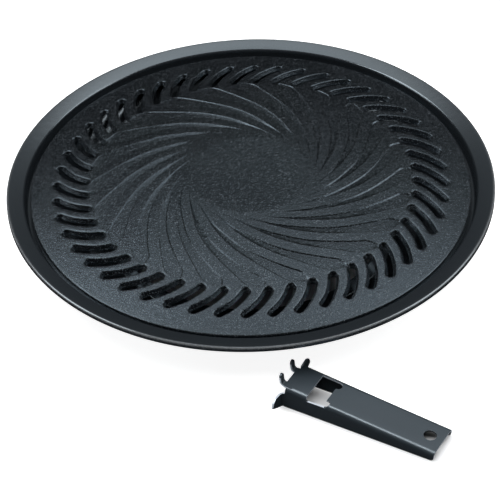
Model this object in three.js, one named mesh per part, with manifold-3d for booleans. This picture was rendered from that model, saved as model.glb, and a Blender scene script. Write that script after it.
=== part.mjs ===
// A round table-stove grill for sliced meat: a domed cooking plate with curved fat slots and swirl
// channels sits in a ring-shaped drip pan, and a separate pressed lifting handle lies in front.
// Millimetres, +Z up. The pan's axis is vertical and everything stands on z = 0.
import * as THREE from "three";
import { mergeVertices } from "three/addons/utils/BufferGeometryUtils.js";
import Module from "manifold-3d";

const wasm = await Module();
wasm.setup();

const degrees = Math.PI / 180;
const panSegments = 64;
const plateSegments = 48;
const overrun = 20;
const seatClearance = 0.3;

// Cooking plate, cast with a turned-down edge
const plateRadius = 149.2;
const plateDrop = 4.1;
const plateRise = 11.7;
const plateThickness = 3;
const plateEdgeRound = 1.2;
const discRadius = 40.5;
const domeRings = 4;

// Drip pan, pressed from sheet, that the plate sits in with room all round
const plateRoom = 3.2;
const rimHeight = 40;
const panSheet = 1.2;
const flangeWidth = 11.8;
const flangeFall = 1.8;
const rimRoll = 1.8;
const rollSteps = 2;
const skirtHeight = 3.4;
const ledgeDepth = 9;
const ledgeWidth = 10.5;
const wallDraft = 0.8;
const bendRadius = 1.6;
const panBendSteps = 2;
const baseRadius = 113;
const troughWidth = 15.5;
const openingLean = 4.4;
const openingWallHeight = 8;

// Curved slots, one ring of them inside the plate's edge
const slotCount = 48;
const slotEdgeGap = 18;
const slotReach = 18.8;
const slotInnerTurn = 4.65;
const slotOuterTurn = -2.6;
const slotBendRadius = 44.4;
const slotWidth = 6.2;
const slotSideSteps = 2;
const slotEndSteps = 4;

// Swirl channels, one to every second slot: each starts as a point at the disc and widens to the slots
const channelCount = slotCount / 2;
const channelDepth = 0.7;
const channelTipGap = 1.5;
const channelTipTurn = -75.6;
const steepSideGap = 10.9;
const steepSideTurn = 3.3;
const gentleSideGap = 4.6;
const gentleSideTurn = -2.5;
const channelMouthGap = 2.1;
const channelMouthTurn = 4.4;
const channelSideSteps = 8;
// How far out each side has come from the tip to its end, at equal steps of its turn
const steepSideShares = [0, 0.08, 0.205, 0.39, 0.66, 1];
const gentleSideShares = [0, 0.075, 0.195, 0.39, 0.64, 1];

// Lifting handle, a channel of folded sheet with its open side down
const handleSheet = 1.2;
const handleLength = 104;
const handleWidth = 26;
const handleFrontHeight = 16.3;
const handleRearHeight = 6.5;
const handleBendRadius = 3.2;
const bendSteps = 4;
const cornerFront = 1;
const noseFront = 2.8;
const noseWidth = 19;
const noseOffset = -2.1;
const rearCornerRadius = 3;
const hangingHoleRadius = 4.2;
const hangingHoleGap = 9.5;
const hangingHoleSteps = 24;
const windowStart = 13.8;
const windowLength = 12.5;
const windowFarMargin = 3.1;
const windowDepth = 4.8;
const windowFrontCorner = 1;
const windowRearCorner = 3;
const nearReliefWidth = 3.6;
const farReliefWidth = 6;
const reliefReach = 3.1;
const reliefSteps = 6;
const prongInset = 0.35;
const prongWidth = 4.2;
const prongTipSteps = 6;
const prongFront = 2.9;
const prongBendRadius = 2;
const prongFold = 80;
const prongReach = 5.6;

// The ears, bent out from the front ends of the handle's flanges, with their reach past a flange's face
const earFront = 4.6;
const earBendRadius = 1.5;
const earRootHeight = 11;
const earCrestReach = 7.5;
const earCrestHeight = 12.4;
const earShoulderReach = 10.4;
const earShoulderHeight = 10.7;
const earTipReach = 11.7;
const earTipHeight = 7.3;
const earTipRadius = 1;
const earTipStart = -60;
const earTipEnd = 20;
const earUnderReach = 6.5;
const earUnderHeight = 3.5;
const earFootReach = 1.2;
const earFootHeight = 0.6;

// Where the handle lies: its front to the right of the pan's axis and clear of the rim, and its turn
const handleX = 24.5;
const handleRimGap = 2.1;
const handleTurn = -30.7;

const plateFinish = new THREE.MeshStandardMaterial({ color: 0x2c2f31, roughness: 0.6, metalness: 0.2 });
const panFinish = new THREE.MeshStandardMaterial({ color: 0x14171b, roughness: 0.35, metalness: 0.3 });
const handleFinish = new THREE.MeshStandardMaterial({ color: 0x4b565e, roughness: 0.35, metalness: 0.7 });

// The closed solid of a three.js geometry.
function solidOf(geometry) {
  const plain = geometry.index ? geometry.toNonIndexed() : geometry.clone();
  plain.deleteAttribute("normal");
  plain.deleteAttribute("uv");
  const merged = mergeVertices(plain);
  return new wasm.Manifold(
    new wasm.Mesh({
      numProp: 3,
      vertProperties: merged.attributes.position.array,
      triVerts: new Uint32Array(merged.index.array),
    }),
  );
}

// The named three.js mesh of a solid.
function namedMesh(name, solid, material) {
  const { vertProperties, triVerts } = solid.getMesh();
  const geometry = new THREE.BufferGeometry();
  geometry.setAttribute("position", new THREE.BufferAttribute(new Float32Array(vertProperties), 3));
  geometry.setIndex(new THREE.BufferAttribute(triVerts, 1));
  geometry.computeVertexNormals();
  const mesh = new THREE.Mesh(geometry, material);
  mesh.name = name;
  return mesh;
}

// A profile of [radius, height] points, revolved about the vertical axis.
function revolved(profile, segments) {
  const points = profile.map(([radius, height]) => new THREE.Vector2(radius, height));
  return solidOf(new THREE.LatheGeometry(points, segments).rotateX(Math.PI / 2));
}

// An outline of [x, y] points, raised from z = 0 to a height.
function raised(outline, height) {
  const shape = new THREE.Shape(outline.map(([x, y]) => new THREE.Vector2(x, y)));
  return solidOf(new THREE.ExtrudeGeometry(shape, { depth: height, bevelEnabled: false }));
}

// Points of an arc about (x, y) from one angle to another.
function arcPoints(x, y, size, from, to, steps) {
  const points = [];
  for (let step = 0; step <= steps; step += 1) {
    const angle = (from + ((to - from) * step) / steps) * degrees;
    points.push([x + size * Math.cos(angle), y + size * Math.sin(angle)]);
  }
  return points;
}

// The [x, y] point at a radius and a turn about the plate's axis.
function polar(radius, turn) {
  return [radius * Math.cos(turn * degrees), radius * Math.sin(turn * degrees)];
}

// The bend between two straight runs of a line, at an [x, y] corner.
function bendPoints(before, corner, after, size, steps) {
  const middle = new THREE.Vector2(...corner);
  const back = new THREE.Vector2(...before).sub(middle).normalize();
  const ahead = new THREE.Vector2(...after).sub(middle).normalize();
  const half = back.angleTo(ahead) / 2;
  const centre = back.clone().add(ahead).setLength(size / Math.sin(half)).add(middle);
  const first = back.clone().multiplyScalar(size / Math.tan(half)).add(middle).sub(centre);
  const last = ahead.clone().multiplyScalar(size / Math.tan(half)).add(middle).sub(centre);
  const turn = Math.atan2(first.cross(last), first.dot(last)) / degrees;
  const start = Math.atan2(first.y, first.x) / degrees;
  return arcPoints(centre.x, centre.y, size, start, start + turn, steps);
}

// A sheet's other face: its first face's points, moved square to the face by the sheet's thickness.
function otherFace(face, sheet) {
  return face.map(([x, y], index) => {
    const [beforeX, beforeY] = face[Math.max(index - 1, 0)];
    const [afterX, afterY] = face[Math.min(index + 1, face.length - 1)];
    const inward = new THREE.Vector2(y - beforeY, beforeX - x).normalize();
    const outward = new THREE.Vector2(afterY - y, x - afterX).normalize();
    const way = inward.clone().add(outward);
    way.multiplyScalar(2 / way.lengthSq());
    return [x - sheet * way.x, y - sheet * way.y];
  });
}

// Where the plate sits in the pan
const plateEdgeHeight = rimHeight - plateDrop;
const wallFootRadius = plateRadius + plateRoom;
const flangeInnerRadius = wallFootRadius + wallDraft;
const rimRadius = flangeInnerRadius + flangeWidth;
const flangeInnerHeight = rimHeight - flangeFall;
const ledgeHeight = flangeInnerHeight - ledgeDepth;

// The pan's upper face, from the rim's lower edge over the flange, wall, ledge and trough to the
// opening's lip
function panFace() {
  const ledgeInner = wallFootRadius - ledgeWidth;
  const troughInner = baseRadius - troughWidth;
  const flangeSlope = Math.atan2(flangeFall, flangeWidth) / degrees;
  const roll = arcPoints(rimRadius - rimRoll, rimHeight - rimRoll, rimRoll, 0, 90 + flangeSlope, rollSteps);
  const corners = [
    [flangeInnerRadius, flangeInnerHeight],
    [wallFootRadius, ledgeHeight],
    [ledgeInner, ledgeHeight],
    [baseRadius, panSheet],
    [troughInner, panSheet],
    [troughInner - openingLean, openingWallHeight],
  ];
  const face = [[rimRadius, rimHeight - skirtHeight], ...roll];
  corners.slice(0, -1).forEach((corner, index) => {
    const before = index ? corners[index - 1] : roll[rollSteps];
    face.push(...bendPoints(before, corner, corners[index + 1], bendRadius, panBendSteps));
  });
  face.push(corners[corners.length - 1]);
  return face;
}

function dripPan() {
  const face = panFace();
  const profile = [...face, ...otherFace(face, panSheet).reverse(), face[0]];
  return revolved(profile, panSegments);
}

// Height of the plate's top over z = 0 at a radius: a flat disc, then a dome that steepens outward.
function plateTop(radius) {
  const reach = Math.max(radius, discRadius);
  const fallen = (reach ** 2 - discRadius ** 2) / (plateRadius ** 2 - discRadius ** 2);
  return plateEdgeHeight + plateRise * (1 - fallen);
}

// Radii of the dome's rings from the disc to a last radius.
function domeRadii(last) {
  const radii = [];
  for (let ring = 0; ring <= domeRings; ring += 1) {
    radii.push(discRadius + ((last - discRadius) * ring) / domeRings);
  }
  return radii;
}

// The plate's section, from the axis over the dome and down to the foot of its edge
function plateProfile() {
  const edgeTopRadius = plateRadius - plateEdgeRound;
  const skirtInner = plateRadius - plateThickness;
  const topPoints = domeRadii(edgeTopRadius).map((radius) => [radius, plateTop(radius)]);
  const underPoints = domeRadii(skirtInner - plateThickness).map((radius) => [
    radius,
    plateTop(radius) - plateThickness,
  ]);
  return [
    [0, plateTop(0)],
    ...topPoints,
    [plateRadius, plateEdgeHeight - plateEdgeRound],
    [plateRadius, ledgeHeight + seatClearance],
    [skirtInner, ledgeHeight + seatClearance],
    [skirtInner, plateTop(skirtInner) - 2 * plateThickness],
    ...underPoints.reverse(),
    [0, plateTop(0) - plateThickness],
  ].reverse();
}

// Where the slots' end centres lie, inside the plate's edge
const slotOuterRadius = plateRadius - slotEdgeGap;
const slotInnerRadius = slotOuterRadius - slotReach;

// One slot's outline: a bent stadium round its two end centres.
function slotOutline() {
  const [innerX, innerY] = polar(slotInnerRadius, slotInnerTurn);
  const [outerX, outerY] = polar(slotOuterRadius, slotOuterTurn);
  const halfChord = Math.hypot(outerX - innerX, outerY - innerY) / 2;
  const chordAngle = Math.atan2(outerY - innerY, outerX - innerX) / degrees;
  const halfBend = Math.asin(halfChord / slotBendRadius) / degrees;
  const from = chordAngle + 90 + halfBend;
  const to = chordAngle + 90 - halfBend;
  const centreX = innerX - slotBendRadius * Math.cos(from * degrees);
  const centreY = innerY - slotBendRadius * Math.sin(from * degrees);
  const half = slotWidth / 2;
  return [
    ...arcPoints(centreX, centreY, slotBendRadius + half, from, to, slotSideSteps),
    ...arcPoints(outerX, outerY, half, to, to - 180, slotEndSteps).slice(1, -1),
    ...arcPoints(centreX, centreY, slotBendRadius - half, to, from, slotSideSteps),
    ...arcPoints(innerX, innerY, half, from + 180, from, slotEndSteps).slice(1, -1),
  ];
}

// One side of a channel, as points from its tip to its end, which is a gap short of the slots.
function channelSide(endGap, endTurn, shares) {
  const channelTipRadius = discRadius + channelTipGap;
  const endRadius = slotInnerRadius - endGap;
  const through = shares.map((share, index) => {
    const radius = channelTipRadius + (endRadius - channelTipRadius) * share;
    const turn = channelTipTurn + ((endTurn - channelTipTurn) * index) / (shares.length - 1);
    return new THREE.Vector2(...polar(radius, turn));
  });
  return new THREE.SplineCurve(through).getPoints(channelSideSteps).map(({ x, y }) => [x, y]);
}

// One channel's outline: two swept sides, and the blunt end that runs into a slot's tip.
function channelOutline() {
  const steep = channelSide(steepSideGap, steepSideTurn, steepSideShares);
  const gentle = channelSide(gentleSideGap, gentleSideTurn, gentleSideShares);
  const mouth = polar(slotInnerRadius - channelMouthGap, channelMouthTurn);
  return [...gentle, mouth, ...steep.slice(1).reverse()];
}

// Copies of one solid, turned evenly about the plate's axis.
function turnedCopies(solid, count) {
  const copies = [];
  for (let copy = 0; copy < count; copy += 1) {
    copies.push(solid.rotate([0, 0, (360 * copy) / count]));
  }
  return wasm.Manifold.union(copies);
}

// The space over the channels' floors, as deep in the plate's top as the channels are.
function spaceOverFloors() {
  const top = rimHeight + overrun;
  const floorPoints = domeRadii(plateRadius).map((radius) => [radius, plateTop(radius) - channelDepth]);
  const profile = [[0, plateTop(0) - channelDepth], ...floorPoints, [plateRadius, top], [0, top]];
  return revolved(profile, plateSegments);
}

function grillPlate() {
  const height = rimHeight + overrun;
  const channels = turnedCopies(raised(channelOutline(), height), channelCount);
  const slots = turnedCopies(raised(slotOutline(), height), slotCount);
  return revolved(plateProfile(), plateSegments)
    .subtract(channels.intersect(spaceOverFloors()))
    .subtract(slots);
}

// A side outline of [x, z] points, carried across the handle about a middle plane.
function spread(outline, width, offset = 0) {
  return raised(outline, width)
    .rotate([90, 0, 0])
    .translate([0, offset + width / 2, 0]);
}

// A front outline of [y, z] points, carried along the handle from a front to a rear.
function drawn(outline, front, rear) {
  return raised(outline, rear - front)
    .rotate([90, 0, 0])
    .rotate([0, 0, 90])
    .translate([front, 0, 0]);
}

const handleSlope = Math.atan2(handleFrontHeight - handleRearHeight, handleLength) / degrees;

// Tips a solid made under a level handle top into place under the sloping one.
function tipped(solid) {
  return solid.rotate([0, handleSlope, 0]).translate([0, 0, handleFrontHeight]);
}

// The folded channel under a level top, with its flanges longer than they need to be.
function channelSheet() {
  const half = handleWidth / 2;
  const centre = half - handleBendRadius;
  const innerRadius = handleBendRadius - handleSheet;
  const foot = -handleFrontHeight - overrun;
  const outline = [
    [half - handleSheet, foot],
    [half, foot],
    ...arcPoints(centre, -handleBendRadius, handleBendRadius, 0, 90, bendSteps),
    ...arcPoints(-centre, -handleBendRadius, handleBendRadius, 90, 180, bendSteps),
    [-half, foot],
    [handleSheet - half, foot],
    ...arcPoints(-centre, -handleBendRadius, innerRadius, 180, 90, bendSteps),
    ...arcPoints(centre, -handleBendRadius, innerRadius, 90, 0, bendSteps),
  ];
  return drawn(outline, -cornerFront, handleLength);
}

// The tongue that carries the prongs past the front of the channel's top.
function nose() {
  const outline = [
    [-noseFront, -handleSheet],
    [noseFront, -handleSheet],
    [noseFront, 0],
    [-noseFront, 0],
  ];
  return spread(outline, noseWidth, noseOffset);
}

// One prong, folded up from the nose's front edge and rounded at its tip.
function prong(offset) {
  const outer = prongBendRadius + handleSheet;
  const end = -90 - prongFold;
  const fold = arcPoints(-prongFront, prongBendRadius, outer, -90, end, bendSteps);
  const back = arcPoints(-prongFront, prongBendRadius, prongBendRadius, end, -90, bendSteps);
  const reachX = prongReach * Math.sin(end * degrees);
  const reachZ = -prongReach * Math.cos(end * degrees);
  const [foldX, foldZ] = fold[bendSteps];
  const [backX, backZ] = back[0];
  const side = [
    [0, -handleSheet],
    ...fold,
    [foldX + reachX, foldZ + reachZ],
    [backX + reachX, backZ + reachZ],
    ...back,
    [0, 0],
  ];
  const half = prongWidth / 2;
  const front = [
    [offset - half, -handleSheet],
    [offset + half, -handleSheet],
    ...arcPoints(offset, foldZ + reachZ - half, half, 0, 180, prongTipSteps),
  ];
  return spread(side, prongWidth, offset).intersect(drawn(front, -overrun, overrun));
}

// The side outline that the channel is trimmed to: upright at the front, flat on the table, and
// square to the top with a rounded lower corner at the rear.
function sideTrim() {
  const slope = handleSlope * degrees;
  const rearFoot = handleLength - handleRearHeight * Math.tan(slope);
  return [
    [-cornerFront - overrun, 0],
    ...arcPoints(rearFoot - rearCornerRadius, rearCornerRadius, rearCornerRadius, -90, 0, bendSteps),
    [handleLength + overrun * Math.tan(slope), handleRearHeight + overrun],
    [-cornerFront - overrun, handleFrontHeight + overrun],
  ];
}

// The window's side outline, open over the top, with a flat floor and rounded lower corners.
function windowOutline(end) {
  const top = handleFrontHeight + overrun;
  const floor = handleFrontHeight - windowDepth;
  const front = windowStart + windowFrontCorner;
  const rear = end - windowRearCorner;
  return [
    [windowStart, top],
    ...arcPoints(front, floor + windowFrontCorner, windowFrontCorner, 180, 270, bendSteps),
    ...arcPoints(rear, floor + windowRearCorner, windowRearCorner, 270, 360, bendSteps),
    [end, top],
  ];
}

// The relief at the window's near rear corner, which runs out through the flange.
function nearRelief(end) {
  const inner = nearReliefWidth + handleSheet - handleWidth / 2;
  const size = nearReliefWidth / 2;
  const outer = inner - handleWidth;
  const outline = [
    [windowStart, inner],
    [windowStart, outer],
    [end, outer],
    ...arcPoints(end - size, inner - size, size, 0, 90, reliefSteps),
  ];
  return raised(outline, handleFrontHeight + overrun).intersect(spread(windowOutline(end), 2 * handleWidth));
}

// The round-ended relief at the window's far rear corner, inside the flange.
function farRelief(end) {
  const size = farReliefWidth / 2;
  const middle = handleWidth / 2 - windowFarMargin - size;
  const outline = [
    [windowStart, middle - size],
    ...arcPoints(end - size, middle, size, -90, 90, reliefSteps),
    [windowStart, middle + size],
  ];
  return raised(outline, overrun).translate([0, 0, handleFrontHeight - windowDepth]);
}

// The folded strip of one ear seen from above: out from its flange round a bend.
function earStrip(side) {
  const half = handleWidth / 2;
  const outer = earBendRadius + handleSheet;
  const bendX = outer - earFront;
  const bendY = half + earBendRadius;
  const outline = [
    [cornerFront, half - handleSheet],
    [cornerFront, half],
    ...arcPoints(bendX, bendY, earBendRadius, 270, 180, bendSteps),
    [handleSheet - earFront, half + earTipReach],
    [-earFront, half + earTipReach],
    ...arcPoints(bendX, bendY, outer, 180, 270, bendSteps),
  ].map(([x, y]) => [x, side * y]);
  return raised(side > 0 ? outline.reverse() : outline, handleFrontHeight);
}

// One ear's leaf-shaped outline seen from the front, from the flange's inner face to its tip.
function earOutline(side) {
  const tip = earTipReach - earTipRadius;
  const outline = [
    [-handleSheet, earFootHeight],
    [earFootReach, earFootHeight],
    [earUnderReach, earUnderHeight],
    ...arcPoints(tip, earTipHeight, earTipRadius, earTipStart, earTipEnd, bendSteps),
    [earShoulderReach, earShoulderHeight],
    [earCrestReach, earCrestHeight],
    [-handleSheet, earRootHeight],
  ].map(([reach, height]) => [side * (handleWidth / 2 + reach), height]);
  return side > 0 ? outline : outline.reverse();
}

function ear(side) {
  return earStrip(side).intersect(drawn(earOutline(side), -overrun, overrun));
}

// The window through the top and the near flange, with its two reliefs.
function windowCut() {
  const farSide = handleWidth / 2 - windowFarMargin;
  const windowEnd = windowStart + windowLength;
  return wasm.Manifold.union([
    spread(windowOutline(windowEnd), farSide + handleWidth, (farSide - handleWidth) / 2),
    nearRelief(windowEnd + reliefReach),
    farRelief(windowEnd + reliefReach),
  ]);
}

function hangingHole() {
  const place = handleLength - hangingHoleGap;
  const outline = arcPoints(place, 0, hangingHoleRadius, 0, 360, hangingHoleSteps).slice(1);
  return raised(outline, handleRearHeight + overrun);
}

function handle() {
  const prongPlace = (noseWidth - prongWidth) / 2 - prongInset;
  const prongs = [prong(noseOffset - prongPlace), prong(noseOffset + prongPlace)];
  const sheet = wasm.Manifold.union([channelSheet(), nose(), ...prongs]);
  const trimmed = tipped(sheet).intersect(spread(sideTrim(), handleWidth + overrun));
  return wasm.Manifold.union([trimmed, ear(1), ear(-1)]).subtract(windowCut()).subtract(hangingHole());
}

const set = new THREE.Group();
set.add(namedMesh("drip_pan", dripPan(), panFinish));
set.add(namedMesh("grill_plate", grillPlate(), plateFinish));

const handlePlace = new THREE.Group();
handlePlace.position.set(handleX, -rimRadius - handleRimGap, 0);
handlePlace.rotation.z = handleTurn * degrees;
handlePlace.add(namedMesh("handle", handle(), handleFinish));
set.add(handlePlace);

// The set stands on z = 0, with the middle of its bounding box over the origin.
set.updateMatrixWorld(true);
const extent = new THREE.Box3().setFromObject(set, true);
const middle = extent.getCenter(new THREE.Vector3());
set.position.set(-middle.x, -middle.y, -extent.min.z);

const group = new THREE.Group();
group.add(set);

export default group;
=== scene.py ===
"""Looks of a table-stove grill: a slotted cooking plate in its drip pan, and a lifting handle."""

import logging
import math
from collections.abc import Callable, Sequence
from dataclasses import dataclass
from enum import Enum

import bmesh
import bpy
import numpy as np
from mathutils import Matrix, Vector
from mathutils.geometry import delaunay_2d_cdt


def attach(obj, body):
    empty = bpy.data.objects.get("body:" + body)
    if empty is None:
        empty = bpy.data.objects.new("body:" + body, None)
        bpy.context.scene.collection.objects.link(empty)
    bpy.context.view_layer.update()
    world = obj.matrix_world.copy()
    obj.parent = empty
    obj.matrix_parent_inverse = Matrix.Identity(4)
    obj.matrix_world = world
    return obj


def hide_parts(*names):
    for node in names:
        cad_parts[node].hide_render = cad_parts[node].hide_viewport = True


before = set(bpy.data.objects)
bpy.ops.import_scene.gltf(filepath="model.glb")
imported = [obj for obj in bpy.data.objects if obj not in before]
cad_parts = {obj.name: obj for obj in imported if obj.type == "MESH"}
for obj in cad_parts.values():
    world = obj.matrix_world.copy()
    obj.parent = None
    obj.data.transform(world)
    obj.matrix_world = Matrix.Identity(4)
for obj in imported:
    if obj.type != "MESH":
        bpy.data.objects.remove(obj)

LOG = logging.getLogger("grill")
MILLIMETRE = 0.001
MERGE = 0.02 * MILLIMETRE
PAN_AXIS = (0.0, 32.99355, 0.0)
WEAR_AND_SHEEN = "wear_and_sheen"

Array = np.ndarray
Faces = Sequence[Sequence[int]]
Colour = tuple[float, float, float]
Operand = "Wire | float"


class Part(Enum):
    """The pieces, by the names of their bodies and solids."""

    PAN = "drip_pan"
    PLATE = "grill_plate"
    HANDLE = "handle"


class Slot(Enum):
    """The finishes that the record names."""

    PLATE = "plate_coating"
    PAN = "pan_coating"
    HANDLE = "handle_finish"


class Wall(Enum):
    """The two long walls of a swirl channel."""

    GENTLE = "gentle"
    STEEP = "steep"


def arc(x: float, y: float, radius: float, start: float, end: float, steps: int) -> Array:
    """Finds points of an arc.

    Args:
        x: Where the centre is, across.
        y: Where the centre is, up.
        radius: The arc's radius.
        start: The first angle in degrees.
        end: The last angle in degrees.
        steps: How many steps the arc takes.

    Returns:
        One row per point.
    """
    angles = np.radians(np.linspace(start, end, steps + 1))
    return np.column_stack([x + radius * np.cos(angles), y + radius * np.sin(angles)])


def polar(radius: float | Array, turn: float | Array) -> Array:
    """Finds points by radius and turn about the pan's axis.

    Args:
        radius: One radius or several.
        turn: One turn in degrees or several.

    Returns:
        The point, or one row per point.
    """
    turns = np.radians(turn)
    return np.stack([radius * np.cos(turns), radius * np.sin(turns)], -1)


def spline(points: Sequence[tuple[float, float]], steps: int) -> Array:
    """Draws a smooth curve through points.

    Args:
        points: The points that the curve goes through.
        steps: How many steps it takes between each two.

    Returns:
        One row per point of the curve.
    """
    knots = np.array([points[0], *points, points[-1]], float)
    knots[0] = 2 * knots[1] - knots[2]
    knots[-1] = 2 * knots[-2] - knots[-3]
    made = []
    for a, b, c, d in zip(knots, knots[1:], knots[2:], knots[3:]):
        for t in np.arange(steps) / steps:
            square = (2 * a - 5 * b + 4 * c - d) * t**2
            cube = (3 * b - a - 3 * c + d) * t**3
            made.append(0.5 * (2 * b + (c - a) * t + square + cube))
    return np.array([*made, knots[-2]])


def distance(points: Array, line: Array) -> Array:
    """Measures how far points are from an open line.

    Args:
        points: One row per point.
        line: One row per point of the line.

    Returns:
        One distance per point.
    """
    best = np.full(len(points), np.inf)
    for a, b in zip(line, line[1:]):
        along = b - a
        t = np.clip((points - a) @ along / max(along @ along, 1e-12), 0, 1)
        best = np.minimum(best, np.hypot(*(points - a - t[:, None] * along).T))
    return best


def inside(points: Array, loop: Array) -> Array:
    """Tells which points lie inside a closed loop.

    Args:
        points: One row per point.
        loop: One row per corner of the loop.

    Returns:
        One truth value per point.
    """
    odd = np.zeros(len(points), bool)
    x, y = points.T
    for (ax, ay), (bx, by) in zip(loop, np.roll(loop, -1, 0)):
        if ay != by:
            odd ^= ((ay > y) != (by > y)) & (x < (bx - ax) * (y - ay) / (by - ay) + ax)
    return odd


def unit(way: Array) -> Array:
    """Scales a direction, or each row of several, to a length of one."""
    return way / np.linalg.norm(way, axis=-1, keepdims=True)


def filleted(corners: Sequence[tuple[float, float, float]], steps: int = 6) -> Array:
    """Draws a profile through corners, each rounded by its own radius.

    Args:
        corners: The x, y and fillet radius of each corner.
        steps: How many steps each fillet takes.

    Returns:
        One row per point of the profile.
    """
    made = [np.array([corners[0][:2]])]
    for before, (x, y, radius), after in zip(corners, corners[1:], corners[2:]):
        corner = np.array([x, y])
        back, ahead = unit(np.array(before[:2]) - corner), unit(np.array(after[:2]) - corner)
        if radius == 0:
            made.append(corner[None])
            continue
        half = math.acos(max(-1.0, min(1.0, float(back @ ahead)))) / 2
        centre = corner + unit(back + ahead) * radius / math.sin(half)
        first = corner + back * radius / math.tan(half) - centre
        last = corner + ahead * radius / math.tan(half) - centre
        start = math.degrees(math.atan2(first[1], first[0]))
        sweep = (math.degrees(math.atan2(last[1], last[0])) - start + 180) % 360 - 180
        made.append(arc(*centre, radius, start, start + sweep, steps))
    made.append(np.array([corners[-1][:2]]))
    return np.concatenate(made)


def other_face(face: Array, sheet: float) -> Array:
    """Finds a sheet's other face, in profile.

    Args:
        face: One row per point of the first face.
        sheet: The sheet's thickness.

    Returns:
        One row per point of the other face, in the same order.
    """
    ahead = np.diff(face, axis=0)
    square = unit(np.column_stack([-ahead[:, 1], ahead[:, 0]]))
    way = np.concatenate([square[:1], square]) + np.concatenate([square, square[-1:]])
    return face + sheet * 2 * way / (way**2).sum(1, keepdims=True)


def triangulate(
    points: Array, lines: Sequence[Array], keep: Callable[[Array], Array]
) -> tuple[Array, Faces]:
    """Fills a flat region with triangles.

    Args:
        points: Points to use besides those of the lines.
        lines: Lines that must be edges of triangles; a closed line repeats its first point.
        keep: Tells for an array of triangle centres which triangles stay.

    Returns:
        The vertices and the triangles that are kept.
    """
    places = [tuple(p) for p in points]
    edges = []
    for line in lines:
        start = len(places)
        closed = np.allclose(line[0], line[-1])
        body = line[:-1] if closed else line
        places += [tuple(p) for p in body]
        edges += [(start + i, start + i + 1) for i in range(len(body) - 1)]
        if closed:
            edges.append((start + len(body) - 1, start))
    found = delaunay_2d_cdt([Vector(p) for p in places], edges, [], 0, 1e-4, False)
    verts = np.array([tuple(v) for v in found[0]])
    faces = np.array(found[2])
    a, b, c = (verts[faces[:, i]] for i in range(3))
    turned = (b - a)[:, 0] * (c - a)[:, 1] - (b - a)[:, 1] * (c - a)[:, 0]
    faces[turned < 0] = faces[turned < 0][:, ::-1]
    return verts, faces[keep(verts[faces].mean(1))].tolist()


def hexagonal(low: Array, high: Array, pitch: float) -> Array:
    """Fills a box with an even triangular grid.

    Args:
        low: The box's lowest corner.
        high: The box's highest corner.
        pitch: How far neighbours are apart.

    Returns:
        One row per point.
    """
    rows = np.arange(low[1], high[1], pitch * math.sqrt(3) / 2)
    starts = low[0] + np.arange(len(rows)) % 2 * pitch / 2
    return np.array([(x, y) for start, y in zip(starts, rows) for x in np.arange(start, high[0], pitch)])


def open_edges(faces: Faces) -> list[tuple[int, int]]:
    """Finds the edges that only one face uses.

    Args:
        faces: The vertices of each face.

    Returns:
        The two vertices of each such edge, in its face's order.
    """
    seen: dict[tuple[int, int], list[tuple[int, int]]] = {}
    for face in faces:
        for a, b in zip(face, [*face[1:], face[0]]):
            seen.setdefault((min(a, b), max(a, b)), []).append((a, b))
    return [uses[0] for uses in seen.values() if len(uses) == 1]


class Shell:
    """Collects the surfaces of one piece, in millimetres about the pan's axis."""

    def __init__(self) -> None:
        """Starts with no surface."""
        self.verts: list[Array] = []
        self.wear_and_sheen: list[Array] = []
        self.faces: list[list[int]] = []
        self.count = 0

    def add(self, verts: Array, faces: Faces, wear_and_sheen: Array | float = 0.0) -> None:
        """Adds one surface.

        Args:
            verts: One row per vertex.
            faces: The vertices of each face.
            wear_and_sheen: How much of the paler colour shows at each vertex, or everywhere, from 0 to 1;
                partly real wear, partly painted highlight.
        """
        self.verts.append(np.asarray(verts, float))
        self.wear_and_sheen.append(np.broadcast_to(wear_and_sheen, len(verts)))
        self.faces += [[i + self.count for i in face] for face in faces]
        self.count += len(verts)

    def revolve(self, profile: Array, segments: int, start: float = 0.0, wear_and_sheen: Array | float = 0.0) -> None:
        """Adds a surface of revolution about the pan's axis.

        Args:
            profile: The radius and height of each point; a closed profile repeats its first point.
            segments: How many flat strips go round.
            start: The turn of the first strip in degrees.
            wear_and_sheen: How much of the paler colour shows at each point of the profile, or everywhere;
                partly real wear, partly painted highlight.
        """
        turns = start + 360 * np.arange(segments) / segments
        rings = [np.column_stack([polar(r, turns), np.full(segments, z)]) for r, z in profile]
        faces = []
        for below in range(0, (len(profile) - 1) * segments, segments):
            for i in range(segments):
                j = (i + 1) % segments
                faces.append([below + i, below + j, below + segments + j, below + segments + i])
        levels = np.broadcast_to(wear_and_sheen, len(profile))
        self.add(np.concatenate(rings), faces, np.repeat(levels, segments))

    def turned(self, verts: Array, faces: Faces, count: int, wear_and_sheen: Array | float = 0.0) -> None:
        """Adds copies of a surface turned evenly about the pan's axis.

        Args:
            verts: One row per vertex.
            faces: The vertices of each face.
            count: How many copies there are.
            wear_and_sheen: How much of the paler colour shows at each vertex, or everywhere; partly real
                wear, partly painted highlight.
        """
        for angle in 2 * math.pi * np.arange(count) / count:
            turn = np.array([[math.cos(angle), math.sin(angle)], [-math.sin(angle), math.cos(angle)]])
            self.add(np.column_stack([verts[:, :2] @ turn, verts[:, 2]]), faces, wear_and_sheen)

    def build(self, name: str, sharp: float) -> bpy.types.Object:
        """Makes the object of everything that was added.

        Args:
            name: The object's name.
            sharp: Edges that turn by more degrees than this stay sharp.

        Returns:
            The new object.
        """
        mesh = bpy.data.meshes.new(name)
        places = (np.concatenate(self.verts) + PAN_AXIS) * MILLIMETRE
        mesh.from_pydata(places.tolist(), [], self.faces)
        # The paler colour's share at each vertex: partly real wear, partly painted highlight.
        wear_and_sheen = mesh.attributes.new(WEAR_AND_SHEEN, "FLOAT", "POINT")
        wear_and_sheen.data.foreach_set("value", np.concatenate(self.wear_and_sheen).astype(np.float32))
        work = bmesh.new()
        work.from_mesh(mesh)
        bmesh.ops.remove_doubles(work, verts=work.verts, dist=MERGE)
        bmesh.ops.recalc_face_normals(work, faces=work.faces)
        return finished(work, mesh, sharp)


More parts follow.
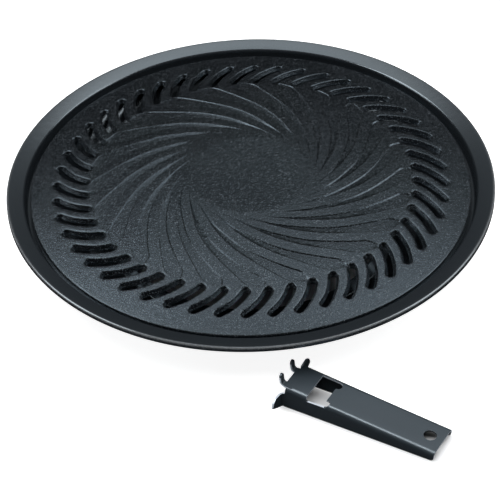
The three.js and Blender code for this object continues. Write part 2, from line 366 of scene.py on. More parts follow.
def finished(work: bmesh.types.BMesh, mesh: bpy.types.Mesh, sharp: float) -> bpy.types.Object:
    """Writes worked geometry to its mesh and puts it in the scene.

    Args:
        work: The geometry, which is freed.
        mesh: The mesh that takes it.
        sharp: Edges that turn by more degrees than this stay sharp.

    Returns:
        The new object.
    """
    work.to_mesh(mesh)
    work.free()
    mesh.polygons.foreach_set("use_smooth", [True] * len(mesh.polygons))
    mesh.set_sharp_from_angle(angle=math.radians(sharp))
    made = bpy.data.objects.new(mesh.name, mesh)
    bpy.context.scene.collection.objects.link(made)
    return made


@dataclass(frozen=True)
class Wire:
    """A socket of values that takes part in Python arithmetic."""

    graph: "Graph"
    socket: bpy.types.NodeSocket

    def math(self, operation: str, *operands: Operand) -> "Wire":
        """Adds a Math node.

        Args:
            operation: The node's operation.
            operands: What goes into it, in order.

        Returns:
            Its result.
        """
        return self.graph.node("ShaderNodeMath", {"operation": operation}, dict(enumerate(operands)))

    def __add__(self, other: Operand) -> "Wire":
        """Adds."""
        return self.math("ADD", self, other)

    def __radd__(self, other: Operand) -> "Wire":
        """Adds, the other way round."""
        return self.math("ADD", other, self)

    def __sub__(self, other: Operand) -> "Wire":
        """Subtracts."""
        return self.math("SUBTRACT", self, other)

    def __rsub__(self, other: Operand) -> "Wire":
        """Subtracts, the other way round."""
        return self.math("SUBTRACT", other, self)

    def __mul__(self, other: Operand) -> "Wire":
        """Multiplies."""
        return self.math("MULTIPLY", self, other)

    def __rmul__(self, other: Operand) -> "Wire":
        """Multiplies, the other way round."""
        return self.math("MULTIPLY", other, self)

    def eased(self, start: float, end: float) -> "Wire":
        """Eases from 0 at one value to 1 at another.

        Args:
            start: The value where it is still 0.
            end: The value from where it is 1; it may be the lower one.

        Returns:
            The eased value, kept between 0 and 1.
        """
        settings = {"interpolation_type": "SMOOTHSTEP", "clamp": True}
        sockets = {"Value": self, "From Min": start, "From Max": end}
        return self.graph.node("ShaderNodeMapRange", settings, sockets)


class Graph:
    """The nodes of one material or room."""

    def __init__(self, tree: bpy.types.NodeTree) -> None:
        """Starts with an empty tree."""
        self.tree = tree
        tree.nodes.clear()

    def node(
        self, kind: str, settings: dict | None = None, sockets: dict | None = None, out: int | str = 0
    ) -> Wire:
        """Adds one node.

        Args:
            kind: The node's type.
            settings: Its settings, set before its sockets; stops holds a ramp's places and colours.
            sockets: A value or a link for each socket, by name or number.
            out: Which of its outputs is wanted.

        Returns:
            That output.
        """
        made = self.tree.nodes.new(kind)
        for name, value in (settings or {}).items():
            if name == "stops":
                self.stops(made.color_ramp, value)
            else:
                setattr(made, name, value)
        for name, value in (sockets or {}).items():
            if isinstance(value, Wire):
                self.tree.links.new(value.socket, made.inputs[name])
            else:
                made.inputs[name].default_value = value
        return Wire(self, made.outputs[out] if len(made.outputs) else None)

    def stops(self, ramp: bpy.types.ColorRamp, stops: Sequence[tuple[float, Colour]]) -> None:
        """Sets a ramp's stops.

        Args:
            ramp: The ramp.
            stops: The place and the colour of each.
        """
        while len(ramp.elements) < len(stops):
            ramp.elements.new(0.5)
        for element, (place, colour) in zip(ramp.elements, stops):
            element.position = place
            element.color = (*colour, 1)

    def place(self) -> Wire:
        """Gives the point on the piece, in metres."""
        return self.node("ShaderNodeTexCoord", out="Object")

    def part(self, vector: Wire, axis: str) -> Wire:
        """Takes one coordinate of a vector."""
        return self.node("ShaderNodeSeparateXYZ", sockets={0: vector}, out=axis)

    def noise(self, size: float, detail: float = 2.0) -> Wire:
        """Adds even noise.

        Args:
            size: How wide its spots are, in millimetres.
            detail: How many finer layers lie on it.

        Returns:
            The noise, about 0.5.
        """
        sockets = {"Vector": self.place(), "Scale": 1 / (size * MILLIMETRE), "Detail": detail}
        return self.node("ShaderNodeTexNoise", sockets=sockets)

    def mix(self, factor: Operand, low: "Colour | Wire", high: "Colour | Wire") -> Wire:
        """Mixes two colours.

        Args:
            factor: How much of the second shows.
            low: The first colour.
            high: The second colour.

        Returns:
            The mixed colour.
        """
        colours = [c if isinstance(c, Wire) else (*c, 1) for c in (low, high)]
        sockets = {0: factor, 6: colours[0], 7: colours[1]}
        return self.node("ShaderNodeMix", {"data_type": "RGBA"}, sockets, 2)

    def wear_and_sheen(self) -> Wire:
        """Gives how much of the paler colour shows, from 0 to 1: partly real wear, partly painted
        highlight.
        """
        return self.node("ShaderNodeAttribute", {"attribute_name": WEAR_AND_SHEEN}, out="Fac")


@dataclass(frozen=True)
class Coating:
    """What all the finishes are made of: a dark coat with grain, turning paler along marked edges and
    crests, partly as real wear and partly as painted highlight.
    """

    name: str
    coat: Colour
    speckle: Colour
    # The paler colour: bare metal where the coat wears through, and painted highlight along edges and
    # crests.
    bare_and_sheen: Colour
    tint: Colour
    roughness: float
    ior: float
    level: float
    grain_size: float
    grain_height: float
    grain_share: float
    wave_size: float
    wave_height: float
    cloud_size: float
    cloud_share: float
    # How strongly the paler colour shows along marked edges and crests: partly real wear, partly painted
    # highlight.
    wear_and_sheen_share: float
    wear_and_sheen_least: float = 0.4
    wear_and_sheen_grain: float = 1.2
    spot_cloud: float = 0.08
    spot_edge: tuple[float, float] = (0.52, 0.68)
    grain_dull: float = 0.12
    wear_and_sheen_polish: float = 0.05

    def make(self) -> bpy.types.Material:
        """Makes the material."""
        material = bpy.data.materials.new(self.name)
        material.use_nodes = True
        graph = Graph(material.node_tree)
        grain = graph.noise(self.grain_size)
        wave = graph.noise(self.wave_size, detail=1.0)
        cloud = graph.noise(self.cloud_size, detail=3.0) - 0.5
        # Mixes in the paler colour along marked edges and crests: partly real wear, partly painted
        # highlight.
        uneven = self.wear_and_sheen_least + self.wear_and_sheen_grain * grain
        wear_and_sheen = (graph.wear_and_sheen() * self.wear_and_sheen_share * uneven).eased(0.0, 1.0)
        spots = (grain + self.spot_cloud * cloud).eased(*self.spot_edge) * self.grain_share
        colour = graph.mix(wear_and_sheen, graph.mix(spots, self.coat, self.speckle), self.bare_and_sheen)
        roughness = self.roughness + self.cloud_share * cloud + self.grain_dull * (grain - 0.5)
        roughness -= self.wear_and_sheen_polish * wear_and_sheen
        height = self.grain_height * grain + self.wave_height * wave
        bump = {"Strength": 1.0, "Distance": MILLIMETRE, "Height": height}
        shader = {
            "Base Color": colour,
            "Roughness": roughness,
            "IOR": self.ior,
            "Specular IOR Level": self.level,
            "Specular Tint": (*self.tint, 1),
            "Normal": graph.node("ShaderNodeBump", sockets=bump),
        }
        surface = graph.node("ShaderNodeBsdfPrincipled", sockets=shader)
        graph.node("ShaderNodeOutputMaterial", sockets={"Surface": surface})
        return material


PLATE_COATING = Coating(
    name="grained plate coating",
    coat=(0.002, 0.0025, 0.003),
    speckle=(0.07, 0.08, 0.09),
    bare_and_sheen=(0.16, 0.17, 0.18),
    tint=(0.69, 0.86, 1.0),
    roughness=0.23,
    ior=3.0,
    level=0.24,
    grain_size=0.8,
    grain_height=0.2,
    grain_share=0.6,
    wave_size=3.0,
    wave_height=0.1,
    cloud_size=28.0,
    cloud_share=0.04,
    # On the plate the paler colour is painted highlight on the channel crests, and partly real wear, partly
    # painted highlight round slots and edge.
    wear_and_sheen_share=0.12,
)
PAN_COATING = Coating(
    name="smooth pan coating",
    coat=(0.014, 0.017, 0.02),
    speckle=(0.01, 0.012, 0.014),
    bare_and_sheen=(0.2, 0.21, 0.22),
    tint=(0.8, 0.92, 1.0),
    roughness=0.15,
    ior=3.0,
    level=0.36,
    grain_size=0.9,
    grain_height=0.02,
    grain_share=0.3,
    wave_size=5.0,
    wave_height=0.03,
    cloud_size=40.0,
    cloud_share=0.05,
    # On the pan the paler colour is a painted highlight along the rolled rim.
    wear_and_sheen_share=0.9,
)
HANDLE_FINISH = Coating(
    name="dark handle finish",
    coat=(0.011, 0.015, 0.019),
    speckle=(0.012, 0.015, 0.018),
    bare_and_sheen=(0.3, 0.33, 0.37),
    tint=(0.8, 0.92, 1.0),
    roughness=0.4,
    ior=3.0,
    level=0.14,
    grain_size=0.5,
    grain_height=0.02,
    grain_share=0.3,
    wave_size=6.0,
    wave_height=0.03,
    cloud_size=18.0,
    cloud_share=0.08,
    # On the handle the paler colour is partly bare cut metal, partly painted highlight along punched and
    # bevelled edges.
    wear_and_sheen_share=0.9,
)


def fit(piece: bpy.types.Object, part: Part, finish: Coating) -> bpy.types.Object:
    """Dresses a piece and puts it on its body, in place of its solid.

    Args:
        piece: The piece.
        part: Which body and solid it belongs to.
        finish: The finish itself.

    Returns:
        The same piece.
    """
    piece.data.materials.append(finish.make())
    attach(piece, part.value)
    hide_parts(part.value)
    return piece


@dataclass(frozen=True)
class DripPan:
    """The pan, pressed from one sheet. Lengths in millimetres."""

    sheet: float = 1.2
    rim_radius: float = 165.0
    rim_height: float = 40.0
    rim_roll: float = 1.0
    rim_skirt: float = 3.4
    # Where the painted highlight on the rolled rim is centred and how far it reaches; the profile gets
    # points at that reach so the band stays narrow.
    highlight_place: tuple[float, float] = (0.5, 0.5)
    highlight_reach: float = 1.1
    flange_slope: float = 8.67
    bend: float = 1.6
    segments: int = 360
    roll_steps: int = 10
    sharp: float = 50.0
    corners: tuple[tuple[float, float], ...] = (
        (153.2, 38.2),
        (152.4, 29.2),
        (141.9, 29.2),
        (113.0, 1.2),
        (97.5, 1.2),
    )
    opening_edge: tuple[float, float] = (93.1, 8.0)

    def profile(self) -> Array:
        """Draws the closed profile of the sheet."""
        middle = (self.rim_radius - self.rim_roll, self.rim_height - self.rim_roll)
        roll = arc(*middle, self.rim_roll, 0, 90 + self.flange_slope, self.roll_steps)
        bends = [(*corner, self.bend) for corner in self.corners]
        rest = filleted([(*roll[-1], 0.0), *bends, (*self.opening_edge, 0.0)])
        inward = (rest[1] - roll[-1]) / np.hypot(*(rest[1] - roll[-1]))
        skirt = [(self.rim_radius, self.rim_height - self.rim_skirt), roll[0] - (0, self.highlight_reach)]
        face = np.concatenate([skirt, roll, [roll[-1] + self.highlight_reach * inward], rest[1:]])
        other = other_face(face, self.sheet)
        return np.concatenate([face, other[::-1], face[:1]])

    def build(self) -> bpy.types.Object:
        """Builds the mesh, with a painted highlight along the rolled rim."""
        profile = self.profile()
        # Painted highlight: a narrow paler band along the crest of the rolled rim.
        crest = (self.rim_radius - self.highlight_place[0], self.rim_height - self.highlight_place[1])
        wear_and_sheen = np.clip(1 - np.hypot(*(profile - crest).T) / self.highlight_reach, 0, 1)
        shell = Shell()
        shell.revolve(profile, self.segments, wear_and_sheen=wear_and_sheen)
        return shell.build("drip_pan_look", self.sharp)

    def make(self) -> bpy.types.Object:
        """Builds and dresses the pan."""
        return fit(self.build(), Part.PAN, PAN_COATING)


@dataclass(frozen=True)
class SlotRing:
    """The ring of curved slots through the plate. Lengths in millimetres."""

    count: int = 48
    inner_radius: float = 112.4
    outer_radius: float = 131.2
    inner_turn: float = 4.65
    outer_turn: float = -2.6
    bend: float = 44.4
    half_width: float = 3.15
    edge_round: float = 1.0
    draft: float = 1.3
    side_steps: int = 10
    end_steps: int = 12
    round_steps: tuple[float, ...] = (0.0, 0.03, 0.1, 0.22, 0.4, 0.65, 1.0)

    def spine(self, index: int, steps: int = 24) -> tuple[Array, float, float, Array]:
        """Draws one slot's middle line.

        Args:
            index: Which slot of the ring.
            steps: How many steps the line takes.

        Returns:
            The line from its inner to its outer end, its end angles, and the bend's centre.
        """
        pitch = 360 / self.count
        inner = polar(self.inner_radius, self.inner_turn + pitch * index)
        outer = polar(self.outer_radius, self.outer_turn + pitch * index)
        chord = outer - inner
        angle = math.degrees(math.atan2(chord[1], chord[0]))
        half = math.degrees(math.asin(np.hypot(*chord) / 2 / self.bend))
        start, end = angle + 90 + half, angle + 90 - half
        centre = inner - polar(self.bend, start)
        return arc(*centre, self.bend, start, end, steps), start, end, centre

    def outline(self, index: int, offset: float) -> Array:
        """Draws the closed outline of one slot.

        Args:
            index: Which slot of the ring.
            offset: How much wider than the slot it is, on each side.

        Returns:
            One row per point; the last repeats the first.
        """
        spine, start, end, centre = self.spine(index)
        half = self.half_width + offset
        sides = [
            arc(*centre, self.bend + half, start, end, self.side_steps),
            arc(*spine[-1], half, end, end - 180, self.end_steps)[1:-1],
            arc(*centre, self.bend - half, end, start, self.side_steps),
            arc(*spine[0], half, start + 180, start, self.end_steps)[1:-1],
        ]
        return np.concatenate([*sides, sides[0][:1]])

    def gap(self, points: Array) -> Array:
        """Measures how far points are outside the nearer of the sector's two slots.

        Args:
            points: One row per point.

        Returns:
            One distance per point, below zero inside a slot.
        """
        return np.minimum(*(distance(points, self.spine(index)[0]) for index in (1, 2))) - self.half_width

    def drop(self, gap: Array) -> Array:
        """Finds how far the rounded edge of a slot lies below the top.

        Args:
            gap: How far outside the slot each point is.

        Returns:
            One drop per point.
        """
        reach = np.maximum(self.edge_round - np.maximum(gap, 0), 0)
        return self.edge_round - np.sqrt(self.edge_round**2 - reach**2)


@dataclass(frozen=True)
class SwirlChannel:
    """One of the shallow swirl channels, which runs to the sector's second slot. Lengths in millimetres."""

    tip_radius: float = 42.0
    end_radius: float = 110.8
    gentle_wall: float = 0.8
    gentle_depth: float = 0.34
    steep_wall: float = 0.74
    steep_depth: float = 0.66
    wall_share: float = 0.4
    full_width: float = 0.8
    rows: int = 76
    crowding: float = 1.25
    crest_reach: float = 0.5
    gentle: tuple[tuple[float, float], ...] = (
        (-60.6, 42.0),
        (-46.0, 46.9),
        (-31.0, 55.2),
        (-16.0, 68.6),
        (-1.0, 85.75),
        (6.0, 96.0),
        (11.0, 105.2),
    )
    gentle_mouth: tuple[tuple[float, float], ...] = (
        (12.1, 107.0),
        (13.0, 108.2),
        (15.0, 109.2),
        (19.45, 110.8),
    )
    steep: tuple[tuple[float, float], ...] = (
        (-60.6, 42.0),
        (-45.0, 46.75),
        (-30.0, 53.8),
        (-15.0, 63.9),
        (0.0, 78.6),
        (9.5, 89.2),
        (17.3, 99.8),
    )
    steep_mouth: tuple[tuple[float, float], ...] = (
        (18.3, 101.6),
        (18.8, 104.0),
        (19.1, 107.0),
        (19.45, 110.8),
    )

    def side(self, wall: Wall, radii: Array) -> Array:
        """Finds where one side of the channel runs.

        Args:
            wall: Which side.
            radii: The radii at which it is wanted.

        Returns:
            Its turn in degrees at each radius.
        """
        if wall is Wall.GENTLE:
            body, mouth = self.gentle, self.gentle_mouth
        else:
            body, mouth = self.steep, self.steep_mouth
        line = np.array([*spline(body, 12), *mouth])
        return np.interp(radii, line[:, 1], line[:, 0])

    def lines(self) -> tuple[Array, Array, Array]:
        """Draws the four lines along the channel: the top and the foot of each wall.

        Returns:
            The radii, the turns of the lines at each radius, and their depths.
        """
        shares = np.linspace(0, 1, self.rows) ** self.crowding
        radii = self.tip_radius + (self.end_radius - self.tip_radius) * shares
        gentle, steep = self.side(Wall.GENTLE, radii), self.side(Wall.STEEP, radii)
        run = radii * np.radians(np.gradient((gentle + steep) / 2, radii))
        turn_per_mm = 180 / math.pi / radii * np.sqrt(1 + run**2)
        width = (steep - gentle) / turn_per_mm
        near = np.minimum(self.gentle_wall, self.wall_share * width)
        far = np.minimum(self.steep_wall, self.wall_share * width)
        turns = [gentle, gentle + near * turn_per_mm, steep - far * turn_per_mm, steep]
        full = np.clip(width / self.full_width, 0, 1)
        level = np.zeros_like(radii)
        depths = np.array([level, self.gentle_depth * full, self.steep_depth * full, level])
        return radii, np.array(turns), depths

    def at(self, points: Array) -> tuple[Array, Array]:
        """Finds how deep the channel is.

        Args:
            points: One row per point.

        Returns:
            The depth at each point, and how near it is to the top of a wall, from 0 to 1.
        """
        radii, turns, depths = self.lines()
        radius = np.hypot(*points.T)
        middle = np.interp(radius, radii, (turns[0] + turns[-1]) / 2)
        turn = np.degrees(np.arctan2(points[:, 1], points[:, 0]))
        turn = middle + (turn - middle + 180) % 360 - 180
        line = np.array([np.interp(radius, radii, row) for row in turns])
        deep = np.array([np.interp(radius, radii, row) for row in depths])
        depth = np.zeros(len(points))
        for a in range(len(line) - 1):
            share = (turn - line[a]) / np.maximum(line[a + 1] - line[a], 1e-9)
            depth = np.where((share >= 0) & (share <= 1), deep[a] + (deep[a + 1] - deep[a]) * share, depth)
        reach = (radius > self.tip_radius) & (radius < self.end_radius)
        off = np.minimum(abs(turn - line[0]), abs(turn - line[-1])) * radius * math.pi / 180
        crest = np.clip(1 - off / self.crest_reach, 0, 1)
        return np.where(reach, depth, 0), np.where(reach, crest, 0)


@dataclass(frozen=True)
class CookingPlate:
    """The domed plate, built as one sector that is turned round. Lengths in millimetres."""

    edge_radius: float = 149.2
    edge_height: float = 35.9
    edge_round: float = 1.3
    rise: float = 11.7
    disc_radius: float = 40.5
    thickness: float = 3.0
    lip_bottom: float = 29.5
    lip_inner: float = 146.2
    under_radius: float = 143.0
    sectors: int = 24
    pitch: float = 2.2
    clearance: float = 0.7
    under_pitch: float = 6.0
    under_clearance: float = 1.5
    # Paler colour round the slots and along the edge (partly real wear, partly painted highlight) and on
    # the channel crests (painted highlight).
    slot_wear_and_sheen: tuple[float, float] = (0.35, 0.5)
    crest_highlight: float = 0.6
    edge_wear_and_sheen: tuple[float, float] = (0.4, 0.2)
    on_slot: float = 0.05
    wall_shares: tuple[float, ...] = (0.0, 0.12, 1.0)
    lip_round: float = 0.4
    lip_foot: tuple[float, float] = (32.4, 2.0)
    disc_rings: tuple[float, ...] = (39.6, 30.0, 20.0, 10.0, 2.0, 0.01)
    sharp: float = 19.5
    plain_radius: float = 138.0
    border_radii: tuple[float, ...] = (44, 46, 50, 55, 60, 66, 72, 78, 84, 90, 96, 100)
    border_outer: tuple[tuple[float, float], ...] = (
        (104.5, 6.9),
        (108.5, 8.0),
        (112.4, 8.4),
        (117.0, 7.0),
        (121.5, 5.55),
        (126.5, 3.55),
        (131.2, 1.15),
        (135.0, -0.3),
        (138.0, -1.0),
    )
    slots: SlotRing = SlotRing()
    channel: SwirlChannel = SwirlChannel()

    def dome(self, radius: float | Array) -> Array:
        """Finds the height of the smooth top.

        Args:
            radius: One radius or several.

        Returns:
            The height at each.
        """
        reach = np.maximum(radius, self.disc_radius)
        fallen = (reach**2 - self.disc_radius**2) / (self.edge_radius**2 - self.disc_radius**2)
        return self.edge_height + self.rise * (1 - fallen)

    def border(self, radius: float | Array) -> Array:
        """Finds where the sector's first border runs, clear of slots and channels.

        Args:
            radius: One radius or several.

        Returns:
            Its turn in degrees at each radius.
        """
        radii = np.array([self.channel.tip_radius, *self.border_radii])
        gentle, steep = self.channel.side(Wall.GENTLE, radii), self.channel.side(Wall.STEEP, radii)
        inner = zip(radii, (steep + gentle - 360 / self.sectors) / 2)
        known = np.array([*inner, *self.border_outer, (self.edge_radius, self.border_outer[-1][1])])
        return np.interp(radius, known[:, 0], known[:, 1])

    def sector(self, inner: float, outer: float) -> Array:
        """Draws the closed outline of one sector.

        Args:
            inner: Its inner radius.
            outer: Its outer radius.

        Returns:
            One row per point; the last repeats the first.
        """
        middle = np.linspace(self.channel.tip_radius, self.plain_radius, 50)
        radii = np.concatenate([[inner], middle, np.linspace(self.plain_radius, outer, 5)[1:]])
        span = 360 / self.sectors
        first = polar(radii, self.border(radii))
        second = polar(radii, self.border(radii) + span)
        outer_arc = polar(outer, self.border(outer) + np.linspace(0, span, 16))
        inner_arc = polar(inner, self.border(inner) + np.linspace(span, 0, 5))
        return np.concatenate([first, outer_arc[1:], second[::-1][1:], inner_arc[1:]])

    def filled(
        self, loop: Array, lines: list[Array], pitch: float, clear: float, gap: float
    ) -> tuple[Array, Faces]:
        """Fills one sector with triangles, apart from its slots.

        Args:
            loop: The sector's outline.
            lines: Lines inside it that must be edges.
            pitch: How far the points between the lines are apart.
            clear: How far those points stay from the lines.
            gap: How far outside the slots the triangles end.

        Returns:
            The vertices and the triangles.
        """
        grid = hexagonal(loop.min(0), loop.max(0), pitch)
        grid = grid[inside(grid, loop)]
        near = np.minimum.reduce([distance(grid, line) for line in (loop, *lines)])

        def keep(centres: Array) -> Array:
            """Tells which triangles lie in the sector and outside its slots."""
            return inside(centres, loop) & (self.slots.gap(centres) > gap)

        return triangulate(grid[near > clear], [loop, *lines], keep)

    def top(self, shell: Shell) -> None:
        """Adds the top of all sectors, with the walls of the slots.

        Args:
            shell: What it is added to.
        """
        radii, turns, _ = self.channel.lines()
        lines = [polar(radii, line) for line in turns]
        lines += [self.slots.outline(slot, offset) for slot in (1, 2) for offset in self.slots.round_steps]
        loop = self.sector(self.disc_radius, self.edge_radius - self.edge_round)
        verts, faces = self.filled(loop, lines, self.pitch, self.clearance, 0.0)
        gap = self.slots.gap(verts)
        depth, crest = self.channel.at(verts)
        # Paler colour round the slot edges, partly real wear and partly painted highlight, and along the
        # channel crests as painted highlight.
        middle, reach = self.slot_wear_and_sheen
        wear_and_sheen = np.maximum(np.clip(1 - abs(gap - middle) / reach, 0, 1), self.crest_highlight * crest)
        heights = self.dome(np.hypot(*verts.T)) - depth - self.slots.drop(gap)
        shell.turned(np.column_stack([verts, heights]), faces, self.sectors, wear_and_sheen)
        self.walls(shell, verts, faces, heights)

    def walls(self, shell: Shell, verts: Array, faces: Faces, heights: Array) -> None:
        """Adds the walls of all slots, down from the open edges of the top.

        Args:
            shell: What they are added to.
            verts: The vertices of one sector's top.
            faces: Its triangles.
            heights: The height of each vertex.
        """
        at_slot = np.abs(self.slots.gap(verts)) < self.on_slot
        edges = [(a, b) for a, b in open_edges(faces) if at_slot[a] and at_slot[b]]
        used = sorted({index for edge in edges for index in edge})
        place = {index: at for at, index in enumerate(used)}
        rim = verts[used]
        spine = np.concatenate([self.slots.spine(index, 60)[0] for index in (1, 2)])
        nearest = spine[np.argmin(((rim[:, None] - spine[None]) ** 2).sum(2), 1)]
        inward = unit(nearest - rim)
        under = self.dome(np.hypot(*rim.T)) - self.thickness
        rows = []
        for share in self.wall_shares:
            level = heights[used] + (under - heights[used]) * share
            rows.append(np.column_stack([rim + inward * self.slots.draft * share, level]))
        n = len(used)
        strips = []
        for a, b in ((place[a], place[b]) for a, b in edges):
            strips += [[a, b, b + n, a + n], [a + n, b + n, b + 2 * n, a + 2 * n]]
        shell.turned(np.concatenate(rows), strips, self.sectors)

    def underside(self, shell: Shell) -> None:
        """Adds the plain underside of all sectors.

        Args:
            shell: What it is added to.
        """
        lines = [self.slots.outline(slot, -self.slots.draft) for slot in (1, 2)]
        loop = self.sector(self.disc_radius, self.under_radius)
        pitch, clear = self.under_pitch, self.under_clearance
        verts, faces = self.filled(loop, lines, pitch, clear, -self.slots.draft)
        height = self.dome(np.hypot(*verts.T)) - self.thickness
        shell.turned(np.column_stack([verts, height]), [face[::-1] for face in faces], self.sectors)

    def edge(self, shell: Shell) -> None:
        """Adds the turned-down edge all round.

        Args:
            shell: What it is added to.
        """
        top = self.edge_radius - self.edge_round
        corners = [
            (top, float(self.dome(top)), 0.0),
            (self.edge_radius, self.edge_height, self.edge_round * 0.75),
            (self.edge_radius, self.lip_bottom, self.lip_round),
            (self.lip_inner, self.lip_bottom, self.lip_round),
            (self.lip_inner, *self.lip_foot),
            (self.under_radius, float(self.dome(self.under_radius)) - self.thickness, 0.0),
        ]
        profile = filleted(corners)
        # A paler band along the edge's crest: partly real wear, partly painted highlight.
        crest = (self.edge_radius - self.edge_wear_and_sheen[0], self.edge_height - self.edge_wear_and_sheen[1])
        wear_and_sheen = np.clip(1 - np.hypot(*(profile - crest).T), 0, 1)
        shell.revolve(profile, 15 * self.sectors, float(self.border(top)), wear_and_sheen)

    def disc(self, shell: Shell) -> None:
        """Adds both faces of the plain middle.

        Args:
            shell: What they are added to.
        """
        radii = np.array([self.disc_radius, *self.disc_rings])
        start = float(self.border(self.disc_radius))
        for below in (0.0, self.thickness):
            shell.revolve(np.column_stack([radii, self.dome(radii) - below]), 4 * self.sectors, start)

    def build(self) -> bpy.types.Object:
        """Builds the mesh."""
        shell = Shell()
        for add in (self.top, self.underside, self.edge, self.disc):
            add(shell)
        return shell.build("grill_plate_look", self.sharp)

    def make(self) -> bpy.types.Object:
        """Builds and dresses the plate."""
        return fit(self.build(), Part.PLATE, PLATE_COATING)


@dataclass(frozen=True)
class LiftingHandle:
    """The folded handle, its punched edges eased. Lengths in millimetres."""

    ease: float = 0.28
    steps: int = 2
    cut_width: float = 1.3
    corner: float = 35.0
    cut_share: float = 0.55
    merge: float = 0.005
    flat: float = 1.5
    sharp: float = 50.0
    weight: int = 80

    def cut_faces(self, work: bmesh.types.BMesh) -> list[bmesh.types.BMFace]:
        """Finds the narrow punched faces of the sheet.

        Args:
            work: The handle's solid.

        Returns:
            The faces.
        """
        found = []
        for face in work.faces:
            sharp = [edge for edge in face.edges if edge.calc_face_angle(0) > math.radians(self.corner)]
            width = 2 * face.calc_area() / face.calc_perimeter() / MILLIMETRE
            share = sum(edge.calc_length() for edge in sharp) / face.calc_perimeter()
            if width < self.cut_width and share > self.cut_share:
                found.append(face)
        return found

    def build(self) -> bpy.types.Object:
        """Builds the mesh from the solid, its punched and bevelled edges paler: partly bare cut metal,
        partly painted highlight.
        """
        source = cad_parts[Part.HANDLE.value]
        work = bmesh.new()
        work.from_mesh(source.data)
        work.transform(source.matrix_world)
        bmesh.ops.remove_doubles(work, verts=work.verts, dist=self.merge * MILLIMETRE)
        flat = {"angle_limit": math.radians(self.flat), "use_dissolve_boundaries": False}
        bmesh.ops.dissolve_limit(work, verts=work.verts, edges=work.edges, **flat)
        bmesh.ops.recalc_face_normals(work, faces=work.faces)
        # Punched and bevelled faces take the paler colour: partly bare cut metal, partly painted highlight.
        wear_and_sheen = work.faces.layers.float.new(WEAR_AND_SHEEN)
        for face in self.cut_faces(work):
            face[wear_and_sheen] = 1.0
        sharp = [edge for edge in work.edges if edge.calc_face_angle(0) > math.radians(self.corner)]
        size = {"offset": self.ease * MILLIMETRE, "segments": self.steps, "profile": 0.5}
        way = {"offset_type": "OFFSET", "affect": "EDGES", "clamp_overlap": True}
        for face in bmesh.ops.bevel(work, geom=sharp, **size, **way)["faces"]:
            face[wear_and_sheen] = 1.0
        made = finished(work, bpy.data.meshes.new("handle_look"), self.sharp)
        weigh = made.modifiers.new("even shading", "WEIGHTED_NORMAL")
        weigh.keep_sharp = True
        weigh.weight = self.weight
        return made

    def make(self) -> bpy.types.Object:
        """Builds and dresses the handle."""
        return fit(self.build(), Part.HANDLE, HANDLE_FINISH)


@dataclass(frozen=True)
class Panel:
    """A soft light panel that faces the set. Lengths in metres, angles in degrees."""

    name: str
    azimuth: float
    elevation: float
    away: float
    size: tuple[float, float]
    power: float
    mirrored: bool = True
    only_handle: bool = False

    def make(self, handle: bpy.types.Object) -> None:
        """Puts the panel up.

        Args:
            handle: The handle, the one piece that some panels light.
        """
        data = bpy.data.lights.new(self.name, "AREA")
        data.shape = "RECTANGLE"
        data.size, data.size_y = self.size
        data.energy = self.power
        made = bpy.data.objects.new(self.name, data)
        turn, rise = math.radians(self.azimuth), math.radians(self.elevation)
        way = Vector((math.cos(turn) * math.cos(rise), math.sin(turn) * math.cos(rise), math.sin(rise)))
        made.location = way * self.away
        made.rotation_euler = way.to_track_quat("Z", "Y").to_euler()
        made.visible_glossy = self.mirrored
        if self.only_handle:
            lit = bpy.data.collections.new(self.name)
            lit.objects.link(handle)
            made.light_linking.receiver_collection = lit
        bpy.context.scene.collection.objects.link(made)


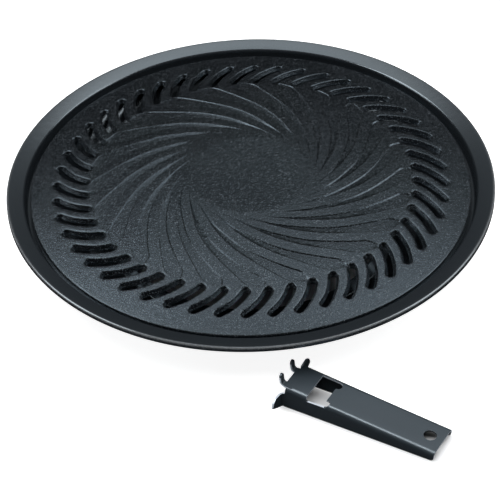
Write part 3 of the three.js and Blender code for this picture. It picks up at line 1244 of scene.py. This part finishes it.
@dataclass(frozen=True)
class Studio:
    """The camera in millimetres, the floor and the light in metres. Angles in degrees."""

    elevation: float = 40.594
    distance: float = 1700.0
    target: tuple[float, float, float] = (-1.9146, -37.29705, 40.0)
    lens: float = 186.66
    roll: float = -2.0961
    sensor: float = 36.0
    floor_size: float = 6.0
    floor_colour: Colour = (0.73, 0.74, 0.75)
    floor_roughness: float = 0.9
    floor_level: float = 0.1
    floor_glow: float = 0.9
    glow_ring: tuple[float, float, float, float] = (0.105, 0.122, 0.168, 0.32)
    handle_middle: tuple[float, float] = (0.0663, -0.1602)
    handle_turn: float = 150.13
    handle_reach: tuple[float, float] = (0.062, 0.019)
    handle_core: tuple[float, float] = (0.046, 0.006)
    room_side: float = 0.8
    room_front: float = 0.05
    room_tone: Colour = (0.98, 1.0, 1.01)
    room_turn: tuple[float, float] = (0.05, 0.52)
    room: tuple[tuple[float, float], ...] = (
        (0.0, 0.003),
        (0.26, 0.005),
        (0.42, 0.012),
        (0.60, 0.056),
        (0.70, 0.13),
        (0.79, 0.95),
        (0.87, 1.2),
        (0.91, 0.3),
        (0.96, 0.09),
    )
    panels: tuple[Panel, ...] = (
        Panel("left panel", 156, 55, 2.4, (1.5, 0.9), 13),
        Panel("handle left panel", 190, 71, 2.4, (1.1, 1.1), 62, only_handle=True),
        Panel("handle back panel", 97, 40, 2.4, (1.2, 0.7), 2.0, only_handle=True),
        Panel("low left panel", 180, 28, 2.4, (1.0, 0.7), 6),
        Panel("right panel", 2, 35, 2.4, (1.6, 1.0), 12),
        Panel("high right panel", 30, 62, 2.4, (0.8, 0.6), 3),
        Panel("floor light", 90, 88, 2.6, (3.4, 3.4), 105, False),
    )

    def camera(self) -> None:
        """Sets the camera at the photograph's viewing angle."""
        angle, roll = math.radians(self.elevation), math.radians(self.roll)
        place = Vector(self.target) + self.distance * Vector((0, -math.cos(angle), math.sin(angle)))
        right, up = Vector((1, 0, 0)), Vector((0, math.sin(angle), math.cos(angle)))
        across = math.cos(roll) * right + math.sin(roll) * up
        upward = -math.sin(roll) * right + math.cos(roll) * up
        turn = Matrix((across, upward, across.cross(upward))).transposed().to_4x4()
        data = bpy.data.cameras.new("camera")
        data.lens = self.lens
        data.sensor_width = self.sensor
        data.clip_end = 20.0
        made = bpy.data.objects.new("camera", data)
        made.matrix_world = Matrix.Translation(place * MILLIMETRE) @ turn
        bpy.context.scene.collection.objects.link(made)
        bpy.context.scene.camera = made

    def under_handle(self, graph: Graph) -> Wire:
        """Works out where the floor is under the resting handle.

        Args:
            graph: The floor's nodes.

        Returns:
            One under the handle's middle, falling softly to zero past its outline.
        """
        turn = math.radians(self.handle_turn)
        place = graph.place()
        east = graph.part(place, "X") - self.handle_middle[0]
        north = graph.part(place, "Y") - self.handle_middle[1]
        along = east * math.cos(turn) + north * math.sin(turn)
        across = east * math.sin(turn) - north * math.cos(turn)
        lengthwise = (along * along).eased(self.handle_reach[0] ** 2, self.handle_core[0] ** 2)
        crosswise = (across * across).eased(self.handle_reach[1] ** 2, self.handle_core[1] ** 2)
        return lengthwise * crosswise

    def floor(self) -> None:
        """Adds the plain pale floor, with a glow round the pan that lifts its shadow."""
        mesh = bpy.data.meshes.new("floor")
        half = self.floor_size / 2
        corners = [(-half, -half, 0), (half, -half, 0), (half, half, 0), (-half, half, 0)]
        mesh.from_pydata(corners, [], [(0, 1, 2, 3)])
        made = bpy.data.objects.new("floor", mesh)
        bpy.context.scene.collection.objects.link(made)
        made.visible_glossy = False
        material = bpy.data.materials.new("floor")
        material.use_nodes = True
        graph = Graph(material.node_tree)
        axis = tuple(length * MILLIMETRE for length in PAN_AXIS)
        sockets = {0: graph.place(), 1: axis}
        away = graph.node("ShaderNodeVectorMath", {"operation": "DISTANCE"}, sockets, "Value")
        start, full, low, end = self.glow_ring
        glow = away.eased(start, full) * away.eased(end, low) * (1 - self.under_handle(graph))
        sockets = {
            "Base Color": (*self.floor_colour, 1),
            "Roughness": self.floor_roughness,
            "Specular IOR Level": self.floor_level,
            "Emission Color": graph.mix(glow, (0, 0, 0), (1, 1, 1)),
            "Emission Strength": self.floor_glow,
        }
        surface = graph.node("ShaderNodeBsdfPrincipled", sockets=sockets)
        graph.node("ShaderNodeOutputMaterial", sockets={"Surface": surface})
        mesh.materials.append(material)

    def light(self, handle: bpy.types.Object) -> None:
        """Lights the set from a room that brightens overhead, and from the panels.

        Args:
            handle: The handle, the one piece that some panels light.
        """
        world = bpy.data.worlds.new("room")
        bpy.context.scene.world = world
        world.use_nodes = True
        graph = Graph(world.node_tree)
        way = graph.node("ShaderNodeTexCoord", out="Generated")
        across, depth, height = (graph.part(way, axis) for axis in "XYZ")
        stops = [(z, tuple(level * part for part in self.room_tone)) for z, level in self.room]
        ramp = graph.node("ShaderNodeValToRGB", {"stops": stops}, {0: height})
        behind = self.room_front + (1 - self.room_front) * depth.eased(*self.room_turn)
        strength = (1 + self.room_side * across) * behind
        back = graph.node("ShaderNodeBackground", sockets={"Color": ramp, "Strength": strength})
        graph.node("ShaderNodeOutputWorld", sockets={0: back})
        bpy.context.scene.view_settings.view_transform = "Standard"
        for panel in self.panels:
            panel.make(handle)

    def make(self, handle: bpy.types.Object) -> None:
        """Sets the whole studio up.

        Args:
            handle: The handle, the one piece that some panels light.
        """
        self.camera()
        self.floor()
        self.light(handle)


def main() -> None:
    """Builds the pieces in order, then the studio."""
    logging.basicConfig(level=logging.INFO)
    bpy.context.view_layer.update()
    for part in (DripPan(), CookingPlate(), LiftingHandle()):
        piece = part.make()
        LOG.info("%s: %d faces", piece.name, len(piece.data.polygons))
    Studio().make(piece)


if __name__ == "__main__":
    main()
